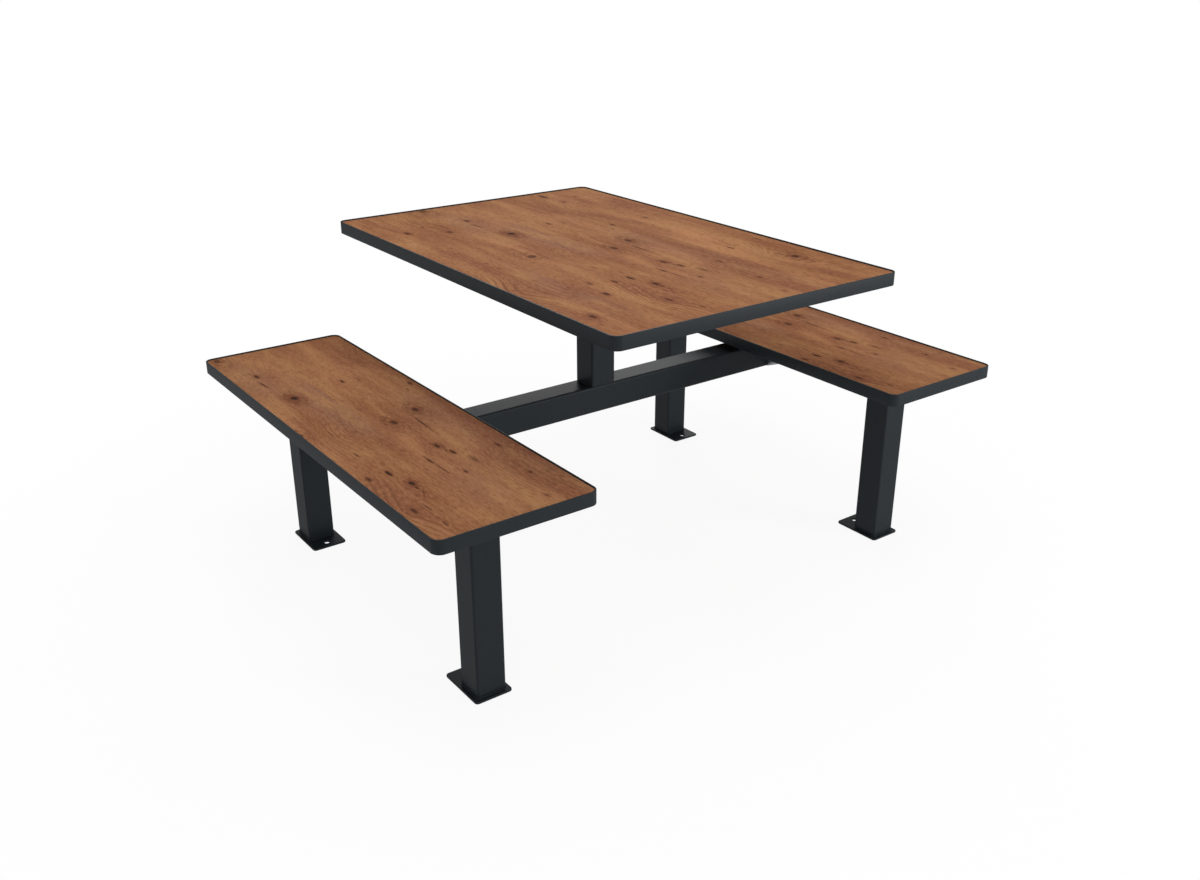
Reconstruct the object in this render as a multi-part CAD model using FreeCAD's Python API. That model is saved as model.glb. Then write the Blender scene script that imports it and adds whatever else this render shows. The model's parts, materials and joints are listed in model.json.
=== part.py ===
import FreeCAD, Part
import math
import os

# Table with two attached benches on a bolt-down steel frame. Sizes are in millimetres.
# X runs across the unit from the left bench to the right one, Y along the benches to the rear, and Z up.
# The origin is on the floor, in the middle of the unit.

# Boards: the tabletop and the two benches
table_height = 750.0
table_width = 754.0
table_length = 1152.0
bench_height = 460.0
bench_width = 348.0
bench_length = 1152.0
bench_offset = 581.0  # from the middle of the table to the middle of a bench
board_thickness = 29.0
board_corner_radius = 20.0
laminate_thickness = 0.8  # decor on top and backing below
edge_band_thickness = 3.0
edge_band_lip = 3.0  # stands above the decor
edge_band_rounding = 0.8

# Tubes of the frame
tube_wall = 3.0
tube_corner_radius = 5.0
least_inner_radius = 0.5  # in a tube whose wall is as thick as its corner is round
beam_height = 67.0
beam_width = 67.0
beam_below_bench = 17.0  # from the underside of a bench down to the top of the beam
post_width = 67.0
leg_size = 67.0
leg_inset = 164.5  # from a bench's end to the middle of its leg
seat_rail_size = 60.0

# Foot plates
foot_plate_thickness = 5.0
foot_plate_side = 9.5  # stands out past the leg on its left and right
foot_plate_heel = 10.0  # stands out past the leg towards the bench's end
foot_plate_toe = 49.0  # stands out past the leg towards the bench's middle
foot_plate_corner_radius = 8.0
anchor_hole_diameter = 14.0
anchor_hole_inset = 21.0  # from the toe's end

# Seat bearers between the frame and the benches
seat_bearer_inset = 24.0  # from the bench's side to the bearer's end
seat_bearer_width = 60.0
seat_bearer_thickness = 5.0
seat_screw_inset = 20.0  # from the bearer's end to the outer screw
seat_screw_pitch = 60.0  # from the outer screw to the inner one

# Plates that end the beam and bolt it to the seat rails
end_plate_thickness = 6.0
end_plate_wing = 56.0  # stands out past the beam on its front and rear
end_plate_rise = 22.0  # from the beam's underside up to the wing's lower corner
end_plate_top_gap = 2.0  # below the seat bearer
beam_bolt_diameter = 10.0
beam_bolt_hole_gap = 1.0  # larger than the bolt
beam_bolt_spacing = 28.0  # between the upper and the lower bolt
bolt_head_flats = 17.0
bolt_head_height = 6.4
bolt_end_past_nut = 3.0
nut_height = 8.0
washer_diameter = 20.0
washer_thickness = 2.0

# Frame under the tabletop
bearer_width = 50.0
bearer_height = 25.0
bearer_wall = 2.5
bearer_corner_radius = 3.5
bearer_spacing = 140.0  # between the two bearers that run along the table
cross_bearer_inset = 84.0  # from the table's side to the capped end of a cross bearer
cross_bearer_setback = 201.0  # from the table's end to the nearest face of a cross bearer
cross_bearer_screws = 4
cross_bearer_screw_inset = 28.0  # from the end of the cross bearer's tube
post_plate_thickness = 8.0
post_plate_margin = 15.0  # stands out past the two bearers
post_plate_length = 160.0
post_plate_corner_radius = 8.0
cap_flange = 3.0
cap_plug_depth = 12.0
cap_plug_gap = 0.2  # between the plug and the tube's inner wall

# Wood screws into the boards
screw_diameter = 5.0
screw_head_diameter = 9.5
screw_head_height = 3.5
screw_head_rounding = 1.5
screw_tip_length = 4.0
screw_bite = 20.0  # into the board
screw_hole_gap = 0.2  # wider than the screw
screw_hole_spare = 1.0  # deeper than the screw's tip

# Levels and places that follow from the sizes above
table_underside = table_height - board_thickness
bench_underside = bench_height - board_thickness
leg_top = bench_underside - seat_bearer_thickness
beam_top = bench_underside - beam_below_bench
beam_bottom = beam_top - beam_height
bearer_bottom = table_underside - bearer_height
post_top = bearer_bottom - post_plate_thickness
leg_spacing = bench_length - 2 * leg_inset  # between the two legs of a bench
leg_y = leg_spacing / 2
seat_bearer_length = bench_width - 2 * seat_bearer_inset
rail_inner_x = bench_offset - seat_rail_size / 2
rail_outer_x = bench_offset + seat_rail_size / 2
beam_half_length = rail_inner_x - end_plate_thickness
rail_middle_height = leg_top - seat_rail_size / 2
cross_bearer_half = table_width / 2 - cross_bearer_inset - cap_flange
cross_bearer_y = table_length / 2 - cross_bearer_setback - bearer_width / 2
long_bearer_half = cross_bearer_y - bearer_width / 2
post_plate_width = bearer_spacing + bearer_width + 2 * post_plate_margin

SIDES = {"left": -1, "right": 1}
ENDS = {"front": -1, "rear": 1}
X_AXIS = FreeCAD.Vector(1, 0, 0)
Z_AXIS = FreeCAD.Vector(0, 0, 1)

# Turns a section drawn in XY, so that it is swept along the named axis
ALONG = {
    "x": FreeCAD.Rotation(FreeCAD.Vector(1, 1, 1), 120),
    "y": FreeCAD.Rotation(X_AXIS, -90),
    "z": FreeCAD.Rotation(),
}


def rounded_face(width, depth, radius):
    """A flat rectangle with round corners, centred on the origin in XY."""
    half_x = width / 2
    half_y = depth / 2
    corners = [(1, 1), (-1, 1), (-1, -1), (1, -1)]
    arcs = []
    for number, (side_x, side_y) in enumerate(corners):
        centre = FreeCAD.Vector(side_x * (half_x - radius), side_y * (half_y - radius), 0)
        points = []
        for turn in (0, 45, 90):
            angle = math.radians(90 * number + turn)
            points.append(centre + FreeCAD.Vector(radius * math.cos(angle), radius * math.sin(angle), 0))
        arcs.append(points)
    edges = []
    for number, (start, middle, end) in enumerate(arcs):
        following_start = arcs[(number + 1) % len(arcs)][0]
        edges.append(Part.Arc(start, middle, end).toShape())
        edges.append(Part.LineSegment(end, following_start).toShape())
    return Part.Face(Part.Wire(edges))


def rounded_slab(width, depth, radius, bottom, thickness, centre_x=0.0, centre_y=0.0):
    """A flat plate with round corners that stands on the level called bottom."""
    slab = rounded_face(width, depth, radius).extrude(Z_AXIS * thickness)
    slab.translate(FreeCAD.Vector(centre_x, centre_y, bottom))
    return slab


def tube(axis, start, length, width, height, wall, corner_radius):
    """A hollow section from start along an axis, with its width across and its height as the other side."""
    inner_radius = max(corner_radius - wall, least_inner_radius)
    outer = rounded_face(width, height, corner_radius).extrude(Z_AXIS * length)
    inner = rounded_face(width - 2 * wall, height - 2 * wall, inner_radius).extrude(Z_AXIS * length)
    section = outer.cut(inner)
    section.Placement = FreeCAD.Placement(FreeCAD.Vector(*start), ALONG[axis])
    return section


def round_bar(diameter, length, start, direction):
    """A plain cylinder from a point along a direction."""
    return Part.makeCylinder(diameter / 2, length, FreeCAD.Vector(*start), direction)


def hexagon(across_flats, thickness):
    """A hexagonal prism on the Z axis, with its first face on the XY plane."""
    corner_distance = across_flats / math.sqrt(3)
    points = []
    for number in range(7):
        angle = math.radians(60 * number)
        points.append(FreeCAD.Vector(corner_distance * math.cos(angle), corner_distance * math.sin(angle), 0))
    return Part.Face(Part.makePolygon(points)).extrude(Z_AXIS * thickness)


def save(name, *solids):
    """Writes one node. Several solids become a group."""
    shape = solids[0] if len(solids) == 1 else Part.makeCompound(list(solids))
    shape.exportStep(f"parts/{name}.step")


def screw_holes(places, bottom):
    """Holes for screws that go up into a board whose underside is at bottom."""
    depth = screw_bite + screw_hole_spare
    return [round_bar(screw_diameter + screw_hole_gap, depth, (x, y, bottom), Z_AXIS) for x, y in places]


def make_board(name, width, length, top, centre_x, screws):
    """A chipboard core with laminate on both faces, drilled from below, in an edge band that ends in a low lip."""
    bottom = top - board_thickness
    inner_width = width - 2 * edge_band_thickness
    inner_length = length - 2 * edge_band_thickness
    inner_radius = board_corner_radius - edge_band_thickness
    core_bottom = bottom + laminate_thickness
    core_top = top - edge_band_lip - laminate_thickness
    holes = screw_holes(screws, bottom)

    def layer(low, thickness):
        return rounded_slab(inner_width, inner_length, inner_radius, low, thickness, centre_x)

    save(f"{name}_laminate", layer(core_top, laminate_thickness))
    save(f"{name}_core", layer(core_bottom, core_top - core_bottom).cut(holes))
    save(f"{name}_backer", layer(bottom, laminate_thickness).cut(holes))

    block = rounded_slab(width, length, board_corner_radius, bottom, board_thickness, centre_x)
    rim_edges = [edge for edge in block.Edges if edge.BoundBox.ZLength < board_thickness / 2]
    rounded_block = block.makeFillet(edge_band_rounding, rim_edges)
    save(f"{name}_edge_band", rounded_block.cut(layer(bottom, board_thickness)))


def make_screws(name, places, head_level, length):
    """A group of wood screws that point up, with their heads under head_level."""
    head = Part.makeCylinder(screw_head_diameter / 2, screw_head_height)
    rim = [edge for edge in head.Edges if edge.BoundBox.ZMax < screw_head_height / 2]
    head = head.makeFillet(screw_head_rounding, rim)
    head.translate(FreeCAD.Vector(0, 0, -screw_head_height))
    shank_length = length - screw_tip_length
    shank = Part.makeCylinder(screw_diameter / 2, shank_length)
    tip = Part.makeCone(screw_diameter / 2, 0, screw_tip_length, FreeCAD.Vector(0, 0, shank_length))
    screw = head.fuse([shank, tip]).removeSplitter()
    copies = []
    for x, y in places:
        copy = screw.copy()
        copy.translate(FreeCAD.Vector(x, y, head_level))
        copies.append(copy)
    save(name, *copies)


def seat_screw_offsets():
    """Places of the screws along a seat bearer, from its middle."""
    outer = seat_bearer_length / 2 - seat_screw_inset
    inner = outer - seat_screw_pitch
    return (-outer, -inner, inner, outer)


def seat_bearer_places():
    """Names and Y places of the bearers under one bench: over both legs and the middle of the seat rail."""
    return {"front": -leg_y, "middle": 0.0, "rear": leg_y}


def bench_screw_places(side):
    """Places of all the screws under one bench."""
    middle = SIDES[side] * bench_offset
    return [(middle + x, y) for y in seat_bearer_places().values() for x in seat_screw_offsets()]


def make_seat_bearers(side):
    """Flat bars that lie on the legs and the seat rail and carry the bench."""
    middle = SIDES[side] * bench_offset
    hole = screw_diameter + screw_hole_gap
    for place, y in seat_bearer_places().items():
        low_corner = FreeCAD.Vector(middle - seat_bearer_length / 2, y - seat_bearer_width / 2, leg_top)
        bar = Part.makeBox(seat_bearer_length, seat_bearer_width, seat_bearer_thickness, low_corner)
        drills = []
        for x in seat_screw_offsets():
            drills.append(round_bar(hole, seat_bearer_thickness, (middle + x, y, leg_top), Z_AXIS))
        save(f"{side}_{place}_seat_bearer", bar.cut(drills))


def make_leg(side, end):
    """A leg of square tube and the plate that it stands on."""
    x = SIDES[side] * bench_offset
    y = ENDS[end] * leg_y
    length = leg_top - foot_plate_thickness
    leg = tube("z", (x, y, foot_plate_thickness), length, leg_size, leg_size, tube_wall, tube_corner_radius)
    save(f"{side}_{end}_leg", leg)

    plate_width = leg_size + 2 * foot_plate_side
    plate_length = leg_size + foot_plate_heel + foot_plate_toe
    heel_end = leg_y + leg_size / 2 + foot_plate_heel
    plate_y = ENDS[end] * (heel_end - plate_length / 2)
    hole_y = ENDS[end] * (heel_end - plate_length + anchor_hole_inset)
    outline = (plate_width, plate_length, foot_plate_corner_radius)
    plate = rounded_slab(*outline, 0, foot_plate_thickness, x, plate_y)
    hole = round_bar(anchor_hole_diameter, foot_plate_thickness, (x, hole_y, 0), Z_AXIS)
    save(f"{side}_{end}_foot_plate", plate.cut(hole))


def beam_bolt_places():
    """Places of the bolts in the YZ plane, on the wings of an end plate."""
    y = beam_width / 2 + end_plate_wing / 2
    rise = beam_bolt_spacing / 2
    return [(side * y, rail_middle_height + step) for side in (-1, 1) for step in (-rise, rise)]


def bolt_drills(side, start_x, length):
    """Holes for the bolts of one side, from a distance out from the unit's middle and on outwards."""
    outwards = X_AXIS * SIDES[side]
    hole = beam_bolt_diameter + beam_bolt_hole_gap
    return [round_bar(hole, length, (SIDES[side] * start_x, y, z), outwards) for y, z in beam_bolt_places()]


def make_seat_rail(side):
    """The tube under a bench that joins its legs and takes the bolts of the beam's end plate."""
    x = SIDES[side] * bench_offset
    length = leg_spacing - leg_size
    start = (x, -length / 2, rail_middle_height)
    rail = tube("y", start, length, seat_rail_size, seat_rail_size, tube_wall, tube_corner_radius)
    save(f"{side}_seat_rail", rail.cut(bolt_drills(side, rail_inner_x, seat_rail_size)))


def make_end_plate(side):
    """The winged plate that closes the beam's end and lies against the seat rail."""
    half_beam = beam_width / 2
    half_plate = half_beam + end_plate_wing
    wing_low = beam_bottom + end_plate_rise
    top = leg_top - end_plate_top_gap
    outline = [
        (-half_beam, beam_bottom),
        (half_beam, beam_bottom),
        (half_plate, wing_low),
        (half_plate, top),
        (-half_plate, top),
        (-half_plate, wing_low),
    ]
    start_x = SIDES[side] * beam_half_length
    points = [FreeCAD.Vector(start_x, y, z) for y, z in outline]
    sheet = Part.Face(Part.makePolygon(points + points[:1]))
    plate = sheet.extrude(X_AXIS * SIDES[side] * end_plate_thickness)
    save(f"{side}_beam_end_plate", plate.cut(bolt_drills(side, beam_half_length, end_plate_thickness)))


def make_beam_fasteners():
    """Hexagon bolts through the end plates and the seat rails, each with two washers and a nut."""
    hole = beam_bolt_diameter + beam_bolt_hole_gap
    clamped = end_plate_thickness + seat_rail_size + 2 * washer_thickness
    shank_length = clamped + nut_height + bolt_end_past_nut
    head = hexagon(bolt_head_flats, bolt_head_height)
    head.translate(FreeCAD.Vector(0, 0, -bolt_head_height))
    bolt = head.fuse(Part.makeCylinder(beam_bolt_diameter / 2, shank_length))
    nut = hexagon(bolt_head_flats, nut_height).cut(Part.makeCylinder(beam_bolt_diameter / 2, nut_height))
    washer = Part.makeCylinder(washer_diameter / 2, washer_thickness)
    washer = washer.cut(Part.makeCylinder(hole / 2, washer_thickness))
    head_washer_x = beam_half_length - washer_thickness
    nut_x = rail_outer_x + washer_thickness
    bolts = []
    washers = []
    nuts = []

    def set_out(shape, side, distance, y, z):
        outwards = X_AXIS * SIDES[side]
        copy = shape.copy()
        turn = FreeCAD.Rotation(Z_AXIS, outwards)
        copy.Placement = FreeCAD.Placement(FreeCAD.Vector(SIDES[side] * distance, y, z), turn)
        return copy

    for side in SIDES:
        for y, z in beam_bolt_places():
            bolts.append(set_out(bolt, side, head_washer_x, y, z))
            washers.append(set_out(washer, side, head_washer_x, y, z))
            washers.append(set_out(washer, side, rail_outer_x, y, z))
            nuts.append(set_out(nut, side, nut_x, y, z))
    save("beam_bolts", *bolts)
    save("beam_washers", *washers)
    save("beam_nuts", *nuts)


def make_beam_and_post():
    """The cross beam, the post that stands on its middle and the plate on the post."""
    beam_start = (-beam_half_length, 0, beam_bottom + beam_height / 2)
    beam = tube("x", beam_start, 2 * beam_half_length, beam_width, beam_height, tube_wall, tube_corner_radius)
    save("cross_beam", beam)
    post_length = post_top - beam_top
    post = tube("z", (0, 0, beam_top), post_length, post_width, beam_width, tube_wall, tube_corner_radius)
    save("table_post", post)
    plate = rounded_slab(
        post_plate_width, post_plate_length, post_plate_corner_radius, post_top, post_plate_thickness
    )
    save("post_plate", plate)


def cross_bearer_screw_places(end):
    """Places of the screws in one cross bearer, evenly spread along it."""
    first = cross_bearer_half - cross_bearer_screw_inset
    step = 2 * first / (cross_bearer_screws - 1)
    return [(-first + step * number, ENDS[end] * cross_bearer_y) for number in range(cross_bearer_screws)]


def long_bearer_screw_places(side):
    """Places of the screws in one long bearer, half way from the post plate to its ends."""
    y = (post_plate_length / 2 + long_bearer_half) / 2
    return [(SIDES[side] * bearer_spacing / 2, step * y) for step in (-1, 1)]


def table_screw_places():
    """Places of all the screws under the tabletop."""
    places = []
    for end in ENDS:
        places += cross_bearer_screw_places(end)
    for side in SIDES:
        places += long_bearer_screw_places(side)
    return places


def make_table_bearers():
    """Two tubes along the table on the post plate, and a capped tube across each of their ends."""
    middle_height = bearer_bottom + bearer_height / 2
    section = (bearer_width, bearer_height, bearer_wall, bearer_corner_radius)

    def drills(places):
        hole = screw_diameter + screw_hole_gap
        return [round_bar(hole, bearer_height, (x, y, bearer_bottom), Z_AXIS) for x, y in places]

    for side in SIDES:
        start = (SIDES[side] * bearer_spacing / 2, -long_bearer_half, middle_height)
        bearer = tube("y", start, 2 * long_bearer_half, *section)
        save(f"{side}_table_bearer", bearer.cut(drills(long_bearer_screw_places(side))))
    for end in ENDS:
        start = (-cross_bearer_half, ENDS[end] * cross_bearer_y, middle_height)
        bearer = tube("x", start, 2 * cross_bearer_half, *section)
        save(f"{end}_cross_bearer", bearer.cut(drills(cross_bearer_screw_places(end))))

    plug_inset = 2 * (bearer_wall + cap_plug_gap)
    plug_radius = max(bearer_corner_radius - bearer_wall, least_inner_radius)
    plug = rounded_face(bearer_width - plug_inset, bearer_height - plug_inset, plug_radius)
    flange = rounded_face(bearer_width, bearer_height, bearer_corner_radius)
    cap = flange.extrude(Z_AXIS * cap_flange).fuse(plug.extrude(Z_AXIS * -cap_plug_depth))
    caps = []
    for end in ENDS:
        for side in SIDES:
            copy = cap.copy()
            place = FreeCAD.Vector(SIDES[side] * cross_bearer_half, ENDS[end] * cross_bearer_y, middle_height)
            half_turn = FreeCAD.Rotation(Z_AXIS, 0 if side == "right" else 180)
            copy.Placement = FreeCAD.Placement(place, half_turn.multiply(ALONG["x"]))
            caps.append(copy)
    save("bearer_end_caps", *caps)


def main():
    """Builds every piece and writes each to its own file."""
    os.makedirs("parts", exist_ok=True)
    make_board("table", table_width, table_length, table_height, 0.0, table_screw_places())
    make_screws("table_screws", table_screw_places(), bearer_bottom, bearer_height + screw_bite)
    make_table_bearers()
    make_beam_and_post()
    make_beam_fasteners()
    for side in SIDES:
        screws = bench_screw_places(side)
        middle = SIDES[side] * bench_offset
        make_board(f"{side}_bench", bench_width, bench_length, bench_height, middle, screws)
        make_screws(f"{side}_bench_screws", screws, leg_top, seat_bearer_thickness + screw_bite)
        make_seat_bearers(side)
        make_seat_rail(side)
        make_end_plate(side)
        for end in ENDS:
            make_leg(side, end)


main()
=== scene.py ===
"""The looks of a table with two attached benches: oak laminate boards on an anthracite steel frame."""
import json
import logging
import math
from collections.abc import Callable, Sequence
from dataclasses import dataclass, field
from enum import Enum, auto

import bmesh
import bpy
import numpy as np
from mathutils import Matrix, Vector


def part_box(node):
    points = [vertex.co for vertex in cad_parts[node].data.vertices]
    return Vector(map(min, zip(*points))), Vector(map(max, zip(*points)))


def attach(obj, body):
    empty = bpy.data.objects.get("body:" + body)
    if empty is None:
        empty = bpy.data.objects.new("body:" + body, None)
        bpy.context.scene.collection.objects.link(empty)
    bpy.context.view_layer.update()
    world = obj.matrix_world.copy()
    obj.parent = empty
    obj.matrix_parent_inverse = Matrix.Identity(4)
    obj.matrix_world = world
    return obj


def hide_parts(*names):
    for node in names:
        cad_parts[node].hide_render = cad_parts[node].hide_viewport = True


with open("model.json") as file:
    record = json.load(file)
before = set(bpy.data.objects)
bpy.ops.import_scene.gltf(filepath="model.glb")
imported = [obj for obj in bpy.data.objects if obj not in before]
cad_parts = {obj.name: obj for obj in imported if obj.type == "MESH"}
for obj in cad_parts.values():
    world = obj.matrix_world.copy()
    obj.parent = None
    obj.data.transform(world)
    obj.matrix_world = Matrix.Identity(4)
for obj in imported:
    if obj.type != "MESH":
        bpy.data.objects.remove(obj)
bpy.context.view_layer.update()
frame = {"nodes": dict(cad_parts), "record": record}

Material = bpy.types.Material
Mesh = bpy.types.Mesh
Shape = bmesh.types.BMesh
Socket = bpy.types.NodeSocket
Tree = bpy.types.NodeTree
Outline = list[tuple[float, float]]
Rings = list[tuple[float | Callable[[float], float], float]]  # radius, or radius at an angle, and height

MM = 0.001
BODY = "root"
BOARDS = ("table", "left_bench", "right_bench")
SIDES = {"left": -1, "right": 1}
ENDS = {"front": -1, "rear": 1}
QUARTER_TURN = math.pi / 2
SMOOTH_UP_TO = math.radians(35)  # a sharper edge than this keeps its crease
MERGE_WITHIN = 0.01 * MM  # points of a CAD mesh that lie this close are one
WHITE = (1.0, 1.0, 1.0, 1.0)

# Sockets of a Mix node: its factor, the ends of a mix of numbers and of colours, and the mixed colour
MIX_FACTOR = 0
MIX_NUMBER_A = 2
MIX_NUMBER_B = 3
MIX_COLOUR_A = 6
MIX_COLOUR_B = 7
MIX_COLOUR = 2

log = logging.getLogger("table_unit")


class Slot(Enum):
    """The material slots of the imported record."""

    OAK = "oak_laminate"
    BACKING = "backing_laminate"
    CHIPBOARD = "chipboard"
    EDGE_BAND = "edge_band"
    PAINT = "frame_paint"
    ZINC_PLATE = "zinc_plate"
    ZINC_FASTENER = "zinc_fastener"
    CAP = "cap_plastic"


class Axis(Enum):
    """The direction that a weld's tube runs in, as the turn that stands the seam square to it."""

    Y = Matrix.Rotation(QUARTER_TURN, 4, "X")
    Z = Matrix.Identity(4)


class Oak(Enum):
    """The browns of the oak print. Over the right front of the sheet, mauve is also a painted cool sheen."""

    PALE = "#af7c57"
    MIDDLE = "#966748"
    DEEP = "#7e5036"
    TAN = "#a97d55"
    ROSE = "#80513d"
    MAUVE = "#8b6655"
    PORE = "#704730"
    HALO = "#6e4230"
    HEART = "#3c2a22"


class PrintField(Enum):
    """The attributes of an oak sheet that lay out its print."""

    FIGURE = "figure"  # millimetres across the grain, which bends round knots and arches
    RINGS = "rings"  # millimetres across the growth rings
    KNOT_GAP = "knot_gap"  # millimetres to the edge of the nearest knot, below 0 inside it
    KNOT_DARK = "knot_dark"  # how dark that knot is
    HALO = "halo"  # how red the wood round a knot is
    CATHEDRAL = "cathedral"  # how clearly the growth rings show
    SHADE = "shade"  # above 0 is darker


class Pattern(Enum):
    """What steers the colours of the oak print from place to place."""

    TONE = auto()
    SHADE = auto()
    CLOUDS = auto()
    STREAKS = auto()
    RINGS = auto()
    PORES = auto()
    HALO = auto()
    KNOT_EDGE = auto()


def linear(colour: str) -> tuple[float, float, float, float]:
    """Turns an sRGB hex colour to linear light.

    Args:
        colour: The colour as "#rrggbb".

    Returns:
        Red, green, blue and an alpha of 1.
    """
    channels = [int(colour[start:start + 2], 16) / 255 for start in (1, 3, 5)]
    # The curve of the sRGB standard
    light = [c / 12.92 if c <= 0.04045 else ((c + 0.055) / 1.055) ** 2.4 for c in channels]
    return (*light, 1.0)


def add_node(
    tree: Tree, kind: str, inputs: dict | None = None, take: str | int = 0, **settings: object
) -> Socket | None:
    """Adds one node to a tree, with its settings and links.

    Args:
        tree: The node tree of a material, of the world or of a shape.
        kind: The node's type.
        inputs: What goes into its sockets, by name or number: a socket to link, or a plain value.
        take: The output that is wanted, by name or number.
        settings: The node's own properties.

    Returns:
        That output, or nothing from a node that ends its tree.
    """
    node = tree.nodes.new(kind)
    for name, value in settings.items():
        setattr(node, name, value)
    for key, value in (inputs or {}).items():
        if isinstance(value, Socket):
            tree.links.new(value, node.inputs[key])
        else:
            node.inputs[key].default_value = value
    return node.outputs[take] if node.outputs else None


def new_material(name: str) -> tuple[Material, Tree]:
    """Makes an empty node material.

    Args:
        name: The real material's name.

    Returns:
        The material and its node tree.
    """
    material = bpy.data.materials.new(name)
    material.use_nodes = True
    material.node_tree.nodes.clear()
    return material, material.node_tree


def real_size(tree: Tree, size: Sequence[float]) -> Socket:
    """Scales the piece's own coordinates, so that a pattern of scale 1 has features of a real size.

    Args:
        tree: The material's node tree.
        size: The feature's size along X, Y and Z in millimetres.

    Returns:
        The vector for a texture.
    """
    place = add_node(tree, "ShaderNodeTexCoord", take="Object")
    scale = tuple(1 / (side * MM) for side in size)
    return add_node(tree, "ShaderNodeMapping", {"Vector": place, "Scale": scale})


@dataclass(frozen=True)
class Noise:
    """A noise that is stretched along the grain, with its sizes in millimetres."""

    across: float
    along: float
    layer: float  # its own layer of the noise, so that no two patterns agree
    detail: float
    rough: float


@dataclass(frozen=True)
class Tint:
    """One brown of the print, laid over those before it from one value of a pattern to another."""

    colour: Oak
    pattern: Pattern
    start: float
    full: float
    strength: float = 1.0
    within: PrintField | None = None  # a field that weakens it from place to place


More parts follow.
